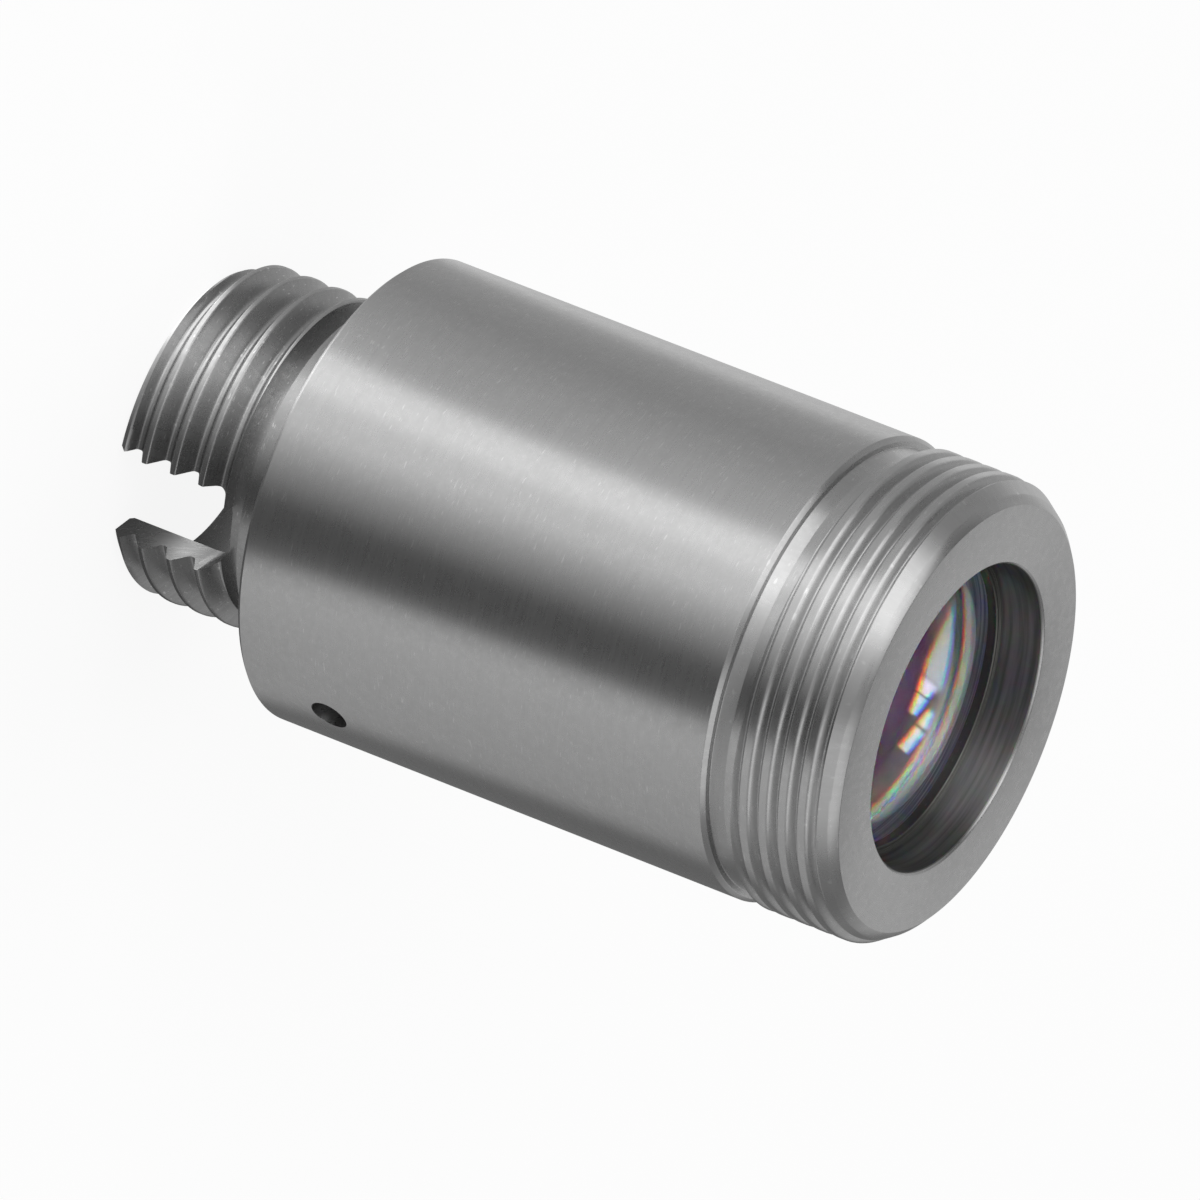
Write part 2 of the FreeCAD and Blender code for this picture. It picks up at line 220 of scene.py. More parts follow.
class Zone:
    """A stretch of a section that a thread is cut into, under a straight envelope."""

    def __init__(self, thread, low, high, low_radius, high_radius):
        self.thread = thread
        self.low, self.high = low, high
        self.low_radius, self.high_radius = low_radius, high_radius

    def points(self, turn):
        found = []
        for z in self.thread.stations(turn, self.low, self.high):
            share = (z - self.low) / (self.high - self.low)
            envelope = self.low_radius + (self.high_radius - self.low_radius) * share
            found.append((min(envelope, self.thread.radius(z, turn)), z))
        return found


# Meshes

WELD = 2e-7  # metres
SHARP_ANGLE = radians(28)


def placed(name, bm):
    """Turns a finished bmesh into an object in the scene."""
    mesh = bpy.data.meshes.new(name)
    bm.to_mesh(mesh)
    bm.free()
    piece = bpy.data.objects.new(name, mesh)
    bpy.context.scene.collection.objects.link(piece)
    return piece


def turned(name, section, steps=192):
    """A closed mesh turned round +Z. The section is a loop of (radius, level) points and thread zones."""
    bm = bmesh.new()
    rings = []
    for step in range(steps + 1):
        turn = step / steps
        c, s = cos(2 * pi * turn), sin(2 * pi * turn)
        ring = []
        for item in section:
            for r, z in item.points(turn) if isinstance(item, Zone) else [item]:
                ring.append(bm.verts.new((r * c * MM, r * s * MM, z * MM)))
        rings.append(ring)
    for ring, following in zip(rings, rings[1:]):
        for here in range(len(ring)):
            there = (here + 1) % len(ring)
            bm.faces.new((ring[here], following[here], following[there], ring[there]))
    bmesh.ops.remove_doubles(bm, verts=bm.verts, dist=WELD)
    bmesh.ops.dissolve_degenerate(bm, edges=bm.edges, dist=WELD)
    bmesh.ops.recalc_face_normals(bm, faces=bm.faces)
    return placed(name, bm)


def prism(name, outline, depth, matrix):
    """A closed mesh: an outline in the XY plane, extruded along +Z and placed by a matrix."""
    bm = bmesh.new()
    low = [bm.verts.new(matrix @ Vector((x, y, 0))) for x, y in outline]
    high = [bm.verts.new(matrix @ Vector((x, y, depth))) for x, y in outline]
    bm.faces.new(low)
    bm.faces.new(high)
    for here in range(len(outline)):
        there = (here + 1) % len(outline)
        bm.faces.new((low[here], low[there], high[there], high[here]))
    bmesh.ops.recalc_face_normals(bm, faces=bm.faces)
    return placed(name, bm)


def cut_with(piece, cutter):
    """Takes the cutter's volume out of the piece and deletes the cutter."""
    modifier = piece.modifiers.new("cut", "BOOLEAN")
    modifier.operation = "DIFFERENCE"
    modifier.solver = "EXACT"
    modifier.object = cutter
    result = bpy.data.meshes.new_from_object(piece.evaluated_get(bpy.context.evaluated_depsgraph_get()))
    piece.modifiers.clear()
    old = piece.data
    piece.data = result
    result.name = piece.name
    bpy.data.meshes.remove(old)
    bpy.data.objects.remove(cutter)


def smooth(piece):
    """Shades the piece smooth between its sharp edges, and returns it."""
    piece.data.shade_smooth()
    piece.data.set_sharp_from_angle(angle=SHARP_ANGLE)
    return piece


def make_housing():
    thread = Thread(LENS_THREAD_PITCH, LENS_THREAD_DEPTH, LENS_THREAD_RADIUS, LENS_THREAD_CREST, LENS_THREAD_SECTION)
    thread_start = SHOULDER + FRONT_RELIEF_LENGTH
    face_bevel_start = FRONT_FACE - FACE_BEVEL[1]
    bevel_start = face_bevel_start - LEAD_BEVEL[1]
    bevel_radius = LENS_THREAD_RADIUS - LEAD_BEVEL[0]
    outside = eased([
        (SOCKET_RADIUS, REAR_FACE),
        (BARREL_RADIUS - BARREL_BREAK, REAR_FACE),
        (BARREL_RADIUS, REAR_FACE + BARREL_BREAK),
        (BARREL_RADIUS, SHOULDER - BARREL_BREAK),
        (BARREL_RADIUS - BARREL_BREAK, SHOULDER),
        (FRONT_RELIEF_RADIUS + FRONT_RELIEF_TAPER[0], SHOULDER),
        (FRONT_RELIEF_RADIUS, SHOULDER + FRONT_RELIEF_TAPER[1]),
        (FRONT_RELIEF_RADIUS, thread_start),
    ])
    face = eased([
        (bevel_radius, face_bevel_start),
        (bevel_radius - FACE_BEVEL[0], FRONT_FACE),
        (BORE_RADIUS + MOUTH_BREAK, FRONT_FACE),
        (BORE_RADIUS, FRONT_FACE - MOUTH_BREAK),
        (BORE_RADIUS, LENS_SEAT),
    ])
    housing = turned("barrel", [
        *outside,
        Zone(thread, thread_start, bevel_start, LENS_THREAD_RADIUS, LENS_THREAD_RADIUS),
        Zone(thread, bevel_start, face_bevel_start, LENS_THREAD_RADIUS, bevel_radius),
        *face,
        (LIGHT_PATH_RADIUS, LENS_SEAT),
        (LIGHT_PATH_RADIUS, SOCKET_END),
        (SOCKET_RADIUS, SOCKET_END),
    ], steps=256)
    cut_with(housing, port_drill())
    return smooth(housing)


def port_drill():
    """A rod as wide as the side hole, from the shank's surface outward."""
    radius = PORT_RADIUS * MM
    angles = [2 * pi * step / PORT_STEPS for step in range(PORT_STEPS)]
    circle = [(radius * cos(angle), radius * sin(angle)) for angle in angles]
    outward = aimed(PORT_AZIMUTH, 0).to_track_quat("Z", "Y").to_matrix().to_4x4()
    start = Matrix.Translation((0, 0, PORT_LEVEL * MM)) @ outward @ Matrix.Translation((0, 0, SHANK_RADIUS * MM))
    return prism("drill", circle, BARREL_RADIUS * MM, start)


def make_receptacle():
    thread = Thread(CONNECTOR_PITCH, CONNECTOR_DEPTH, CREST_RADIUS, CONNECTOR_CREST, CONNECTOR_SECTION)
    collar = THREAD_END + NOSE_RELIEF_LENGTH
    receptacle = turned("connector_nose", [
        (PLUG_BORE_RADIUS + RIM_BORE_BREAK, RIM),
        Zone(thread, RIM, RIM_CHAMFER, CREST_RADIUS - RIM_CHAMFER, CREST_RADIUS),
        Zone(thread, RIM_CHAMFER, THREAD_END, CREST_RADIUS, CREST_RADIUS),
        (NOSE_RELIEF_RADIUS, THREAD_END),
        (NOSE_RELIEF_RADIUS, collar),
        (SHANK_RADIUS, collar),
        (SHANK_RADIUS, SHANK_END - SHANK_BREAK),
        (SHANK_RADIUS - SHANK_BREAK, SHANK_END),
        (EXIT_CONE_RADIUS, SHANK_END),
        (STOP_RADIUS, FERRULE_STOP + STOP_LAND),
        (STOP_RADIUS, FERRULE_STOP),
        (SLEEVE_RADIUS, FERRULE_STOP),
        (SLEEVE_RADIUS, POST_TIP),
        (POST_RADIUS - POST_CHAMFER, POST_TIP),
        (POST_RADIUS, POST_TIP + POST_CHAMFER),
        (POST_RADIUS, PLUG_BORE_DEPTH),
        (PLUG_BORE_RADIUS, PLUG_BORE_DEPTH),
        (PLUG_BORE_RADIUS, RIM + RIM_BORE_BREAK),
    ])
    cut_with(receptacle, keyslot_cutter())
    return smooth(receptacle)


def keyslot_cutter():
    """The slot's outline across -Y, open below the rim, with two rounded inner corners."""
    middle = KEYSLOT_HALF_WIDTH - KEYSLOT_CORNER
    level = KEYSLOT_DEPTH - KEYSLOT_CORNER
    outline = [(-KEYSLOT_HALF_WIDTH, -KEYSLOT_HALF_WIDTH), (KEYSLOT_HALF_WIDTH, -KEYSLOT_HALF_WIDTH)]
    for sign, start in ((1, 0), (-1, pi / 2)):
        for step in range(KEYSLOT_CORNER_STEPS + 1):
            angle = start + pi / 2 * step / KEYSLOT_CORNER_STEPS
            outline.append((sign * middle + KEYSLOT_CORNER * cos(angle), level + KEYSLOT_CORNER * sin(angle)))
    inner = (PLUG_BORE_RADIUS + POST_RADIUS) / 2
    upright = Matrix(((1, 0, 0, 0), (0, 0, -1, -inner * MM), (0, 1, 0, 0), (0, 0, 0, 1)))
    return prism("key_cutter", [(x * MM, z * MM) for x, z in outline], CREST_RADIUS * MM, upright)


def conic_sag(reach, curve):
    """How far a lens's curve has fallen away from its vertex at a reach from the axis."""
    radius, conic = curve
    return reach**2 / (radius * (1 + sqrt(1 - (1 + conic) * (reach / radius) ** 2)))


def make_lens():
    reaches = [OPTICAL_RADIUS * step / OPTICAL_STEPS for step in range(OPTICAL_STEPS + 1)]
    edge = LENS_RADIUS - LENS_EDGE_BREAK
    return smooth(turned("lens", [
        *((r, LENS_FRONT - conic_sag(r, FRONT_CURVE)) for r in reaches),
        (edge, LENS_FLANGE),
        (LENS_RADIUS, LENS_FLANGE - LENS_EDGE_BREAK),
        (LENS_RADIUS, LENS_SEAT + LENS_EDGE_BREAK),
        (edge, LENS_SEAT + SEAT_GAP),
        (OPTICAL_RADIUS, LENS_SEAT + SEAT_GAP),
        *((r, LENS_REAR + conic_sag(r, REAR_CURVE)) for r in reversed(reaches[:-1])),
    ], steps=128))


def make_ring():
    inside = BORE_RADIUS - RING_WALL
    section = [(inside, LENS_FLANGE), (BORE_RADIUS, LENS_FLANGE), (BORE_RADIUS, RING_TOP)]
    for middle in RING_GROOVES:
        section += [(middle + GROOVE_HALF, RING_TOP), (middle, RING_TOP - GROOVE_HALF),
                    (middle - GROOVE_HALF, RING_TOP)]
    section += [(inside + RING_BREAK, RING_TOP), (inside, RING_TOP - RING_BREAK)]
    return smooth(turned("retaining_ring", section))


# Materials


class Nodes:
    """Short ways to add and link the nodes of a material or world. Values are numbers, colours or other sockets."""

    LEAN = 1.7  # of textures drawn out round the axis, so that faces across it show them too
    NEAR_AXIS = 1e-6  # metres

    def __init__(self, owner, shader="Principled BSDF"):
        owner.use_nodes = True
        self.tree = owner.node_tree
        self.shader = self.tree.nodes[shader]

    def add(self, kind, **settings):
        node = self.tree.nodes.new("ShaderNode" + kind)
        for key, value in settings.items():
            setattr(node, key, value)
        return node

    def feed(self, socket, value):
        """Links a socket to another, or sets its number or colour."""
        if isinstance(value, bpy.types.NodeSocket):
            self.tree.links.new(value, socket)
        else:
            socket.default_value = value

    def fill(self, node, inputs):
        """Feeds a node's inputs by name, and returns its outputs."""
        for name, value in inputs.items():
            self.feed(node.inputs[name], value)
        return node.outputs

    def join(self, kind, *values, **settings):
        """Adds a node, feeds its inputs in order, and returns its first output."""
        node = self.add(kind, **settings)
        for socket, value in zip(node.inputs, values):
            self.feed(socket, value)
        return node.outputs[0]

    def show(self, shader):
        """Makes a shader the material's surface."""
        self.feed(self.tree.nodes["Material Output"].inputs["Surface"], shader)

    def math(self, operation, *values):
        return self.join("Math", *values, operation=operation)

    def plus(self, first, second):
        return self.math("ADD", first, second)

    def minus(self, first, second):
        return self.math("SUBTRACT", first, second)

    def times(self, first, second):
        return self.math("MULTIPLY", first, second)

    def length(self, x, y):
        """Length of a vector with these two parts."""
        return self.math("SQRT", self.plus(self.times(x, x), self.times(y, y)))

    def fade(self, first, second, share):
        """The number that lies a share of the way from the first to the second."""
        return self.plus(self.times(first, self.minus(1.0, share)), self.times(second, share))

    def blend(self, first, second, share, way="MIX"):
        """Two colours mixed by a share, in one of Blender's ways."""
        node = self.add("Mix", data_type="RGBA", blend_type=way)
        return self.fill(node, {"Factor": share, "A": first, "B": second})["Result"]

    def ramp(self, value, stops):
        """Maps a value through (position, brightness or colour) stops."""
        node = self.add("ValToRGB")
        elements = node.color_ramp.elements
        while len(elements) > 1:
            elements.remove(elements[-1])
        for index, (position, level) in enumerate(stops):
            element = elements[0] if index == 0 else elements.new(position)
            element.position = position
            element.color = (*level, 1) if isinstance(level, tuple) else (level, level, level, 1)
        return self.fill(node, {"Fac": value})["Color"]

    def map(self, value, source, target=(0, 1)):
        """Maps a value from one range of numbers to another, held at the ends."""
        inputs = {"Value": value, "From Min": source[0], "From Max": source[1], "To Min": target[0],
                  "To Max": target[1]}
        return self.fill(self.add("MapRange"), inputs)["Result"]

    def place(self):
        """The x, y and z of the point on its object, in metres."""
        apart = self.add("SeparateXYZ")
        self.feed(apart.inputs[0], self.add("TexCoord").outputs["Object"])
        return apart.outputs

    def within(self, radius, level):
        """1 inside a radius and above a level, in millimetres, else 0."""
        x, y, z = self.place()
        near = self.math("LESS_THAN", self.length(x, y), radius * MM)
        return self.times(near, self.math("GREATER_THAN", z, level * MM))

    def turning(self, round_scale, along_scale, lean=LEAN):
        """Coordinates for such a texture: the direction from the axis, and millimetres along the lay, each times its
        scale."""
        x, y, z = self.place()
        radius = self.length(x, y)
        lay = self.plus(z, self.times(radius, lean))
        reach = self.math("MAXIMUM", radius, self.NEAR_AXIS)
        return self.join("CombineXYZ", self.times(self.math("DIVIDE", x, reach), round_scale),
                         self.times(self.math("DIVIDE", y, reach), round_scale), self.times(lay, along_scale / MM))

    def noise(self, scales, detail=2.0, roughness=0.5):
        """Noise drawn out round the axis. The scales are what turning takes, with a lean if it isn't the usual one."""
        inputs = {"Scale": 1.0, "Detail": detail, "Roughness": roughness, "Vector": self.turning(*scales)}
        return self.fill(self.add("TexNoise"), inputs)["Fac"]


def spread(stops, low, high):
    """A ramp's stops with their positions, from low to high, moved to 0 to 1."""
    return [((at - low) / (high - low), shown) for at, shown in stops]


# Reflections painted into the lens seat's colour, in millimetres away from the axis on the side away from the camera,
# and to one side of that
SEAT_REFLECTION_SPAN = (-1, 1)
PANE_SPAN = (2.5, 4)
PANE_LEAN = (0.45, 0.25)  # of the panes' long and short sides
PANE_START = 3.2
# Across the panes, red where the first column shows and green where the second does, then brightness down each one
PANE_COLUMNS = (
    (2.5, (1, 0, 0)), (3.15, (1, 0, 0)), (3.19, (0, 0, 0)), (3.3, (0, 0, 0)), (3.34, (0, 1, 0)), (3.51, (0, 1, 0)),
    (3.55, (0, 0, 0)), (4, (0, 0, 0)),
)
PANE_ROWS = (
    ((-1, 0.0), (-0.2, 0.0), (-0.18, 1.0), (0.07, 1.0), (0.08, 0.1), (0.1, 0.1), (0.11, 1.0), (0.27, 1.0), (0.3, 0.0),
     (1, 0.0)),
    ((-1, 0.0), (-0.65, 0.0), (-0.63, 1.0), (-0.275, 1.0), (-0.265, 0.0), (-0.235, 0.0), (-0.225, 1.0), (-0.02, 1.0),
     (0.03, 0.1), (1, 0.0)),
)
WEDGE_LEAN = 0.17
WEDGE_START = 2.845
WEDGE_ROWS = ((-1, 0.0), (0.2, 0.0), (0.34, 0.42), (1, 0.36))
SEAT_GLOOM = 0.06
SEAT_REACH = 3.42
RIM_START = 3.45
RIM_STREAKS = ((0.4, 0.3), (0.62, 1.0))  # brightness past that reach, by the fine rings
RIM_STREAK_SCALES = (1.5, 26.0)
RIM_ROWS = ((-1, 1.0), (-0.35, 0.9), (0.0, 0.45), (0.5, 0.25), (1, 0.12))


def painted_seat_reflection(n):
    """Painted reflection in the lens seat's colour: two columns of bright window panes with thin bars, a dull painted
    wedge of light beside them, and painted bright streaks past its rim."""
    x, y, _ = n.place()

    def along(azimuth):
        """Distance in millimetres along a direction in the seat's plane."""
        direction = aimed(azimuth, 0) / MM
        return n.plus(n.times(x, direction.x), n.times(y, direction.y))

    away = along(FACING + 180)
    aside = along(FACING - 90)
    down = n.map(n.plus(aside, n.times(n.minus(away, PANE_START), PANE_LEAN[1])), SEAT_REFLECTION_SPAN)
    across = n.map(n.minus(away, n.times(aside, PANE_LEAN[0])), PANE_SPAN)
    first, second, dull, rim = (n.ramp(down, spread(stops, *SEAT_REFLECTION_SPAN)) for stops in (*PANE_ROWS, WEDGE_ROWS, RIM_ROWS))
    apart = n.fill(n.add("SeparateColor"), {"Color": n.ramp(across, spread(PANE_COLUMNS, *PANE_SPAN))})
    panes = n.plus(n.times(first, apart[0]), n.times(second, apart[1]))
    wedge = n.times(n.math("GREATER_THAN", n.minus(away, n.times(aside, WEDGE_LEAN)), WEDGE_START), dull)
    reach = n.length(away, aside)
    shown = n.times(n.plus(n.plus(panes, wedge), SEAT_GLOOM), n.math("LESS_THAN", reach, SEAT_REACH))
    streaks = n.times(n.ramp(n.noise(RIM_STREAK_SCALES), RIM_STREAKS), rim)
    return n.plus(shown, n.times(streaks, n.math("GREATER_THAN", reach, RIM_START)))


# Scales of the steel's textures round the axis and along it, with a lean where it isn't the usual one
RING_SCALES = (6.0, 24.0)
DRIFT_SCALES = (1.6, 2.0)
NICK_SCALES = (24.0, 26.0)
MOTTLE_SCALES = (26.0, 5.0, 1.0)
BORED_SCALES = (1.2, 7.0)
RING_SHARE, DRIFT_SHARE = 0.8, 0.2
RING_SPAN = (0.25, 0.75)  # of the rings' height, mapped to tone and roughness
NOISE_SPAN = (0.3, 0.7)  # of a noise, mapped in the same way
RING_TONE = (0.97, 1.03)
RING_ROUGHNESS = (0.95, 1.08)  # times the steel's own
BORED_TONE = (0.65, 1.35)
NICK_STOPS = ((0.0, 0.0), (0.7, 0.0), (0.78, 1.0))
NICK_WHITE = (0.95, 0.95, 0.95, 1)
ACROSS_THE_RINGS = 0.25  # of a turn
# Inside the housing's bore: lowest level, colour and roughness, each over those before it. The colours are painted
# shade, darker than the barrel's steel; None is the seat with its painted reflection.
BORE_PAINT_RADIUS = BORE_RADIUS + 0.02
SEAT_MARGIN = 0.01
BORE_SHADE_AND_FINISH = (
    (REAR_FACE, (0.25, 0.17, 0.24), 0.5),
    (LENS_SEAT - SEAT_MARGIN, None, 0.6),
    (LENS_SEAT + SEAT_MARGIN, (0.26, 0.26, 0.255), 0.4),
)


def turned_steel(name, colour, roughness, anisotropy, ring_depth, speckle, mottling, inner=()):
    """Steel turned and brushed round the axis: fine rings, slow drifts of tone, a mottle and a few bright nicks.

    The bore's painted shade and the seat's painted reflection, if any, are written as in the bore's list, with
    roughness. They hold inside that list's radius.
    """
    material = bpy.data.materials.new(name)
    n = Nodes(material)
    rings = n.plus(n.times(n.noise(RING_SCALES, detail=1.5), RING_SHARE), n.times(n.noise(DRIFT_SCALES), DRIFT_SHARE))
    nick = n.ramp(n.noise(NICK_SCALES, detail=0.5), NICK_STOPS)
    mottle = n.noise(MOTTLE_SCALES, detail=3.5, roughness=0.65)
    tone = n.times(n.map(rings, RING_SPAN, RING_TONE), n.map(mottle, NOISE_SPAN, (1 - mottling, 1 + mottling)))
    shade = n.blend((*colour, 1), tone, 1.0, "MULTIPLY")
    shade = n.blend(shade, NICK_WHITE, n.times(nick, speckle))
    rough = n.times(n.map(rings, RING_SPAN, [roughness * share for share in RING_ROUGHNESS]),
                    n.map(mottle, NOISE_SPAN, (1 + 2 * mottling, 1 - 2 * mottling)))
    # inside the bore, painted shade darkens the walls and a painted reflection brightens the lens seat
    for level, shown, dulled in inner:
        within = n.within(BORE_PAINT_RADIUS, level)
        if shown is None:
            # the seat's colour is a painted reflection of window panes and painted light
            painted_inside = painted_seat_reflection(n)
        else:
            bored = n.map(n.noise(BORED_SCALES, detail=3.0), NOISE_SPAN, BORED_TONE)
            painted_inside = n.blend(bored, (*shown, 1), 1.0, "MULTIPLY")
        shade = n.blend(shade, painted_inside, within)
        rough = n.fade(rough, dulled, within)
    bump = n.fill(n.add("Bump"), {"Strength": 1.0, "Distance": ring_depth * MM, "Height": rings})
    n.fill(n.shader, {
        "Base Color": shade,
        "Roughness": rough,
        "Metallic": 1.0,
        "Anisotropic": anisotropy,
        "Anisotropic Rotation": ACROSS_THE_RINGS,
        "Tangent": n.join("Tangent", direction_type="RADIAL", axis="Z"),
        "Normal": bump[0],
    })
    return material


GLASS_IOR = 1.6
DISPERSION = 0.016  # of the index between one primary colour and the next
COATING = (135.0, 1.38)  # thickness in nanometres and index
GROUND_EDGE = 0.4  # roughness of the lens's rim
EDGE_MARGIN = 0.01  # radial depth of that rim
RIM_COVER_TINT = (0.33, 0.33, 0.46, 1)
RIM_COVER_ROUGHNESS = 0.7
EDGE_COVER = ((0.0, 0.55), (0.2, 0.75), (0.45, 0.97), (1.0, 1.0))  # share covered by the rim's diffuse indigo grey, from the rim's rear to its front
EDGE_STREAK_SCALES = (1.5, 9.0)
EDGE_STREAKS = (0.8, 1.1)  # times that share


def coated_glass(name):
    """Clear glass with a quarter-wave coating and a ground rim that a diffuse indigo grey covers, most towards its
    front.
    Each primary colour has its own index, so edges seen in it fringe."""
    material = bpy.data.materials.new(name)
    n = Nodes(material)
    n.tree.nodes.remove(n.shader)
    x, y, z = n.place()
    rim = n.math("GREATER_THAN", n.length(x, y), (LENS_RADIUS - EDGE_MARGIN) * MM)
    ground = n.times(rim, GROUND_EDGE)
    red, green, blue = (
        n.fill(n.add("BsdfPrincipled"), {
            "Base Color": primary,
            "Specular Tint": primary,
            "Roughness": ground,
            "Transmission Weight": 1.0,
            "IOR": index,
            "Thin Film Thickness": COATING[0],
            "Thin Film IOR": COATING[1],
        })[0]
        for primary, index in (((1, 0, 0, 1), GLASS_IOR - DISPERSION), ((0, 1, 0, 1), GLASS_IOR),
                               ((0, 0, 1, 1), GLASS_IOR + DISPERSION))
    )
    clear = n.join("AddShader", n.join("AddShader", red, green), blue)
    rim_cover = n.fill(n.add("BsdfPrincipled"), {"Base Color": RIM_COVER_TINT, "Roughness": RIM_COVER_ROUGHNESS})[0]
    cover = n.ramp(n.map(z, (LENS_SEAT * MM, LENS_FLANGE * MM)), EDGE_COVER)
    streaks = n.map(n.noise(EDGE_STREAK_SCALES, detail=3.0), NOISE_SPAN, EDGE_STREAKS)
    n.show(n.join("MixShader", n.times(n.times(cover, streaks), rim), clear, rim_cover))
    return material


CERAMIC_SCALES = (6.0, 12.0)
CERAMIC_TONES = ((0.3, (0.84, 0.83, 0.8)), (0.7, (0.92, 0.91, 0.88)))
CERAMIC_ROUGHNESS = (0.25, 0.4)


def ground_ceramic(name):
    """White ceramic with a fine ground grain."""
    material = bpy.data.materials.new(name)
    n = Nodes(material)
    grain = n.noise(CERAMIC_SCALES, detail=3.0)
    n.fill(n.shader, {"Base Color": n.ramp(grain, CERAMIC_TONES),
                      "Roughness": n.map(grain, NOISE_SPAN, CERAMIC_ROUGHNESS)})
    return material


def paint(piece, material):
    """Gives the piece this one material."""
    piece.data.materials.clear()
    piece.data.materials.append(material)


# Stage and light

FLOOR_SIZE = 6.0  # metres
FLOOR_DROP = 0.02  # below the rim, so that they don't share a face
FLOOR_ROUGHNESS = 0.8
WHITE = (0.9, 0.9, 0.9, 1)
SHADOW_SHARE = 0.1  # how much of the floor's own shading the camera sees
WORLD_LIGHT = 0.5
# Azimuth from the camera's and elevation in degrees, distance, width and height in metres, and brightness
LAMPS = {
    "key": (-25, 45, 0.5, 0.25, 0.3, 3.0),
    "fill": (90, 35, 0.6, 0.4, 0.3, 1.2),
    "top": (-120, 60, 0.5, 0.3, 0.3, 1.5),
}

SURROUND_REACH = 150.0
SURROUND_STEPS = 180
SURROUND_RISES = 24
# Brightness of the cards by azimuth from the camera's, low down round the part
LOW_CARDS = (
    (-180, 1.1), (-168, 0.64), (-150, 0.63), (-138, 0.74), (-122, 0.43), (-95, 0.36), (-66, 0.49), (-48, 0.52),
    (-42, 1.15), (-30, 1.16), (-25, 0.83), (-14, 0.84), (0, 0.45), (18, 0.09), (28, 0.08), (38, 0.12), (44, 0.52),
    (52, 0.6), (66, 0.53), (80, 0.49), (112, 0.42), (126, 0.17), (150, 0.17), (160, 0.17), (172, 0.22), (180, 0.8),
)
# The same for the cards above them
HIGH_CARDS = (
    (-180, 0.57), (-150, 0.46), (-125, 0.34), (-95, 0.28), (-73, 0.32), (-65, 1.35), (-25, 1.35), (-10, 0.6), (10, 0.4),
    (30, 0.28), (70, 0.28), (105, 0.16), (130, 0.2), (150, 0.46), (180, 0.57),
)
# The same for those above these
UPPER_CARDS = (
    (-180, 0.2), (-150, 0.14), (-100, 0.12), (-90, 0.3), (-85, 1.15), (-35, 1.15), (-20, 0.4), (0, 0.2),
    (22, 0.3), (32, 0.85), (92, 0.8), (104, 0.3), (114, 0.14), (150, 0.14), (180, 0.2),
)
OVERHEAD = 0.2  # all round above those
LOW_TOP = (0.1, 0.2)  # sines of the elevations where the low cards give way to the high ones
HIGH_TOP = (0.58, 0.7)
UPPER_TOP = (0.93, 0.975)
# The same close under the nose
NOSE_CARDS = (
    (-180, 0.4), (-150, 0.6), (-110, 0.42), (-66, 0.5), (-50, 2.0), (-28, 2.0), (-20, 1.1), (-8, 0.55), (10, 0.14),
    (50, 0.1), (120, 0.08), (165, 0.14), (180, 0.4),
)
NOSE_REACH = (0.055, 0.07)  # shares of the surround's reach between which they give way to the low ones
# What the lens shows, by the same azimuth and by rise over the lens as a share of the reach
LENS_CARDS = (
    (-180, 0.1), (-60, 0.1), (-44, 0.8), (-36, 0.5), (-24, 0.9), (-18, 1.4), (-12, 1.0), (-2, 2.2), (6, 1.6), (10, 2.4),
    (18, 1.2), (26, 1.6), (34, 0.6), (48, 0.9), (60, 0.1), (180, 0.1),
)
LENS_RISE = (
    (0.0, 0.0), (0.14, 0.05), (0.2, 0.3), (0.26, 0.6), (0.29, 0.35), (0.33, 0.9), (0.36, 0.4), (0.4, 0.8), (0.43, 0.3),
    (0.48, 0.6), (0.53, 0.2), (0.6, 0.1),
)
SEAT_DEPTH = 3.5  # of transmissions, past which a ray has been behind the lens
SEAT_LIGHT = 4.6  # that such a ray sees all round


def make_floor():
    """A white floor. The rays that show the background see little or none of its shading."""
    half, level = FLOOR_SIZE / 2, -FLOOR_DROP * MM
    bm = bmesh.new()
    bm.faces.new([bm.verts.new((x, y, level)) for x, y in ((-half, -half), (half, -half), (half, half), (-half, half))])
    floor_piece = placed("floor", bm)
    material = bpy.data.materials.new("floor_white")
    n = Nodes(material)
    n.fill(n.shader, {"Base Color": WHITE, "Roughness": FLOOR_ROUGHNESS})
    rays = n.add("LightPath").outputs
    share = n.times(rays["Is Camera Ray"], 1 - SHADOW_SHARE)
    for name in ("Is Glossy Ray", "Is Transmission Ray"):
        share = n.math("MAXIMUM", share, rays[name])
    n.show(n.join("MixShader", share, n.shader.outputs[0], n.join("Emission")))
    paint(floor_piece, material)


def make_surround():
    """The studio's grey and white cards, under, round and over the part, that only the metal and the lens show."""
    outer = SURROUND_REACH * MM
    bm = bmesh.new()
    rings = []
    for rise in range(SURROUND_RISES):
        reach, level = outer * cos(pi / 2 * rise / SURROUND_RISES), outer * sin(pi / 2 * rise / SURROUND_RISES)
        angles = [2 * pi * step / SURROUND_STEPS for step in range(SURROUND_STEPS)]
        rings.append([bm.verts.new((reach * cos(angle), reach * sin(angle), level)) for angle in angles])
    for low, high in zip(rings, rings[1:]):
        for here in range(SURROUND_STEPS):
            there = (here + 1) % SURROUND_STEPS
            bm.faces.new((low[here], low[there], high[there], high[here]))
    bm.faces.new(rings[0])
    bm.faces.new(rings[-1])
    surround = placed("surround", bm)
    surround.location = (0, 0, -FLOOR_DROP / 2 * MM)
    surround.visible_camera = False
    surround.visible_diffuse = False
    surround.visible_volume_scatter = False
    surround.visible_shadow = False
    paint(surround, surround_cards(outer))


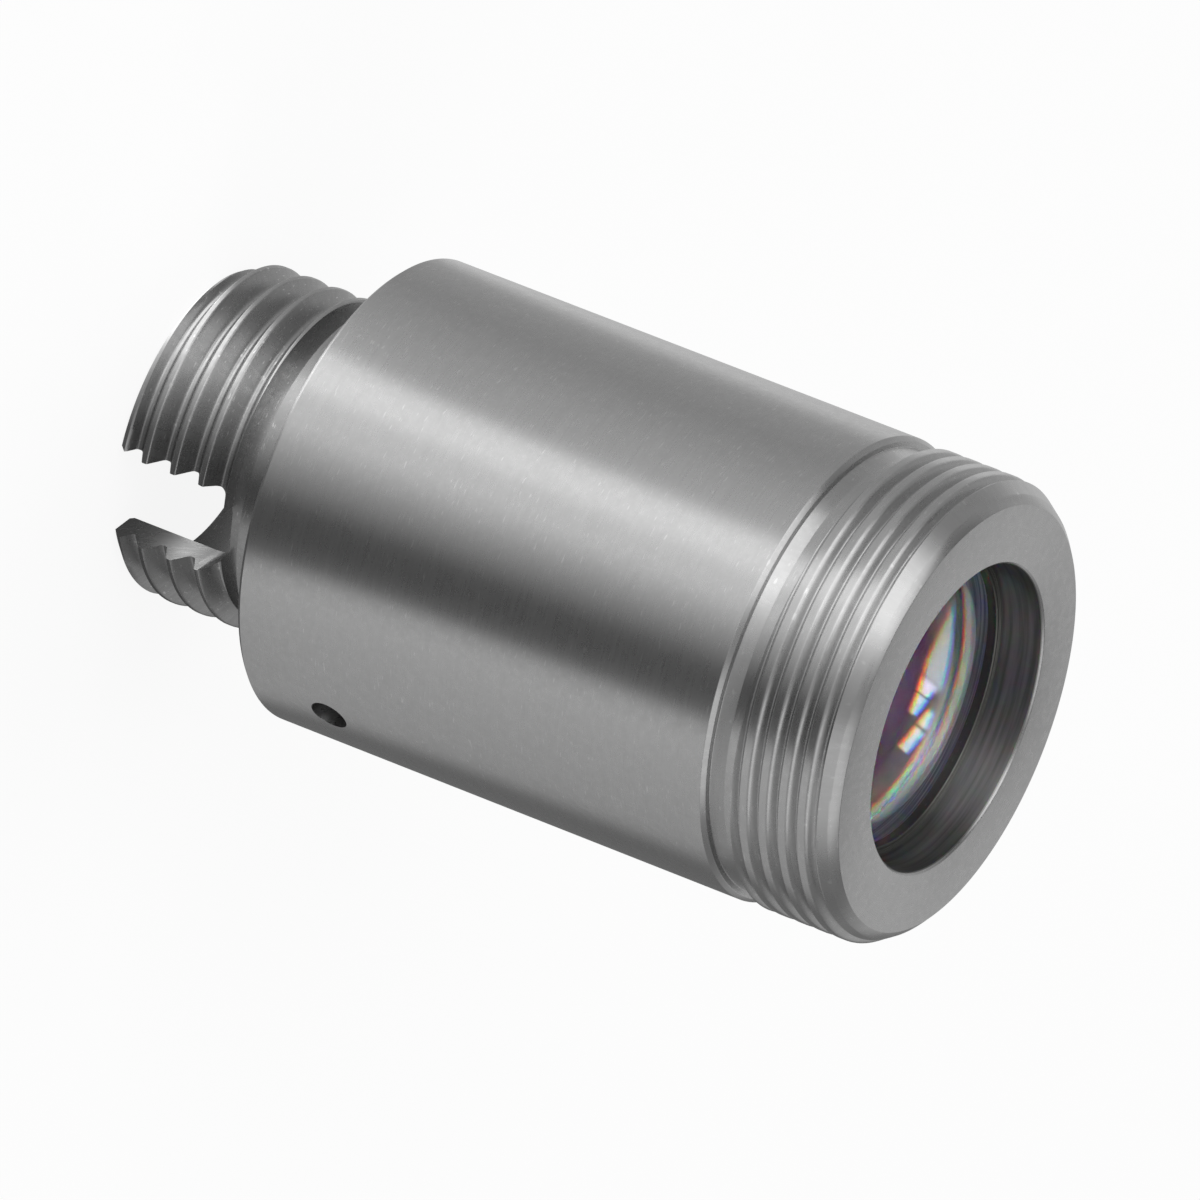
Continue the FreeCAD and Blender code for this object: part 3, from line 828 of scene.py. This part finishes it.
def surround_cards(outer):
    """The cards' brightness by azimuth and height, and what rays through the lens see in their place."""
    material = bpy.data.materials.new("surround_cards")
    n = Nodes(material)
    n.tree.nodes.remove(n.shader)
    x, y, z = n.place()
    offset = n.minus(n.math("ARCTAN2", y, x), radians(FACING))
    # Half a turn puts the camera's azimuth in the middle, and a whole one keeps the sum above 0
    share = n.math("FRACT", n.plus(n.math("DIVIDE", offset, 2 * pi), 1.5))
    low, high, upper, nose, lens = (n.ramp(share, spread(cards, -180, 180))
                                    for cards in (LOW_CARDS, HIGH_CARDS, UPPER_CARDS, NOSE_CARDS, LENS_CARDS))
    rise = n.math("DIVIDE", z, outer)
    level = n.blend(low, high, n.map(rise, LOW_TOP))
    level = n.blend(level, upper, n.map(rise, HIGH_TOP))
    level = n.blend(level, (OVERHEAD, OVERHEAD, OVERHEAD, 1), n.map(rise, UPPER_TOP))
    under = n.math("LESS_THAN", z, outer * LOW_TOP[0])
    near = n.map(n.math("DIVIDE", n.length(x, y), outer), NOSE_REACH, (1, 0))
    level = n.blend(level, nose, n.times(under, near))
    rays = n.add("LightPath").outputs
    seen = n.times(lens, n.ramp(n.minus(rise, FRONT_FACE * MM / outer), LENS_RISE))
    seen = n.fade(seen, SEAT_LIGHT, n.math("GREATER_THAN", rays["Transmission Depth"], SEAT_DEPTH))
    n.show(n.join("Emission", n.fade(level, seen, rays["Is Transmission Ray"])))
    return material


def make_world():
    """A plain white world that lights the part softly and shows as full white."""
    world = bpy.data.worlds.new("studio")
    bpy.context.scene.world = world
    n = Nodes(world, "Background")
    rays = n.add("LightPath").outputs
    shown = n.plus(n.plus(rays["Is Camera Ray"], rays["Is Glossy Ray"]), rays["Is Transmission Ray"])
    n.fill(n.shader, {"Color": (1, 1, 1, 1), "Strength": n.map(shown, (0, 1), (WORLD_LIGHT, 1.0))})


def softbox(name, azimuth, elevation, distance, width, height, brightness):
    """A soft rectangular lamp aimed at the barrel's middle. Brightness 1 is a white card's."""
    data = bpy.data.lights.new(name, "AREA")
    data.shape = "RECTANGLE"
    data.size = width
    data.size_y = height
    data.energy = brightness * pi * width * height
    lamp = bpy.data.objects.new(name, data)
    target = Vector((0, 0, (REAR_FACE + FRONT_FACE) / 2 * MM))
    direction = aimed(FACING + azimuth, elevation)
    lamp.location = target + direction * distance
    lamp.rotation_euler = direction.to_track_quat("Z", "Y").to_euler()
    bpy.context.scene.collection.objects.link(lamp)


def make_camera():
    back = aimed(FACING, ELEVATION)
    level_right = aimed(FACING + 90, 0)
    level_up = back.cross(level_right)
    turn = radians(ROLL)
    right = level_right * cos(turn) + level_up * sin(turn)
    up = back.cross(right)
    across, above = CAMERA_SIDESTEP
    shoulder = Vector((0, 0, SHOULDER))
    place = (shoulder - right * across - up * above + back * CAMERA_DISTANCE) * MM
    data = bpy.data.cameras.new("camera")
    data.lens = FOCAL_LENGTH
    data.sensor_width = SENSOR_WIDTH
    data.clip_start, data.clip_end = CLIP
    camera = bpy.data.objects.new("camera", data)
    camera.matrix_world = Matrix.Translation(place) @ Matrix((right, up, back)).transposed().to_4x4()
    bpy.context.scene.collection.objects.link(camera)
    bpy.context.scene.camera = camera


def dress(piece, node, material):
    """Puts a piece in a CAD node's place."""
    paint(piece, material)
    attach(piece, "root")
    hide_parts(node)


make_camera()
make_floor()
make_surround()
make_world()
for name, lamp in LAMPS.items():
    softbox(name, *lamp)

barrel_steel = turned_steel("barrel_steel", (0.56, 0.56, 0.56), roughness=0.28, anisotropy=0.7, ring_depth=0.0004,
                            speckle=0.3, mottling=0.04, inner=BORE_SHADE_AND_FINISH)
# the nose's steel is the barrel's steel painted darker as painted shade; its speckle and mottle are its own grain
nose_steel = turned_steel("nose_steel", (0.43, 0.43, 0.43), roughness=0.28, anisotropy=0.35, ring_depth=0.0005,
                          speckle=0.5, mottling=0.06)
ring_steel = turned_steel("ring_steel", (0.15, 0.15, 0.14), roughness=0.4, anisotropy=0.4, ring_depth=0.0003,
                          speckle=0.1, mottling=0.04)
dress(make_housing(), "housing", barrel_steel)
dress(make_receptacle(), "fibre_receptacle", nose_steel)
dress(make_lens(), "aspheric_lens", coated_glass("lens_glass"))
dress(make_ring(), "lens_retaining_ring", ring_steel)
paint(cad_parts["ferrule_sleeve"], ground_ceramic("sleeve_ceramic"))

bpy.context.scene.view_settings.view_transform = "Standard"
